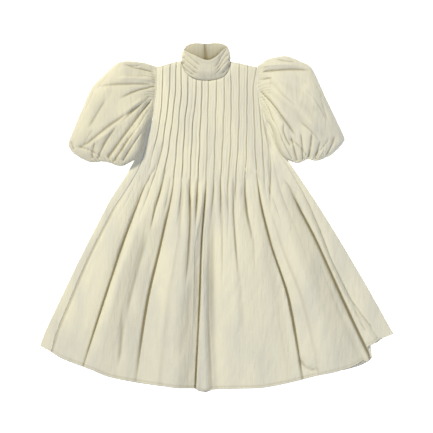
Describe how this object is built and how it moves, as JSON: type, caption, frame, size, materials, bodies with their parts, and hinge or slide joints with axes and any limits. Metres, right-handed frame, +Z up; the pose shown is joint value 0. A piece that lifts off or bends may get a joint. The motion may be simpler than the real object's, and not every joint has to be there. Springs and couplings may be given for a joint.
{
  "type": "pintuck dress",
  "caption": "Knee-covering flared dress laid flat, with a high draped stand collar, pintucks released into skirt folds and short gathered puff sleeves.",
  "frame": {"origin": "on the surface the dress lies on, under the middle of its outline", "axes": "+Z up out of the surface, through back and then front; +Y from hem to collar; +X to the right as seen from above, which is the wearer's left"},
  "size_m": [1.2414, 1.2222, 0.0579],
  "materials": {
    "cotton_taffeta": "crisp matt cream plain weave"
  },
  "bodies": {
    "root": {"front_panel": "cotton_taffeta", "back_left": "cotton_taffeta", "back_right": "cotton_taffeta", "sleeve_left": "cotton_taffeta", "sleeve_right": "cotton_taffeta", "cuff_left": "cotton_taffeta", "cuff_right": "cotton_taffeta", "collar": "cotton_taffeta"}
  },
  "joints": []
}
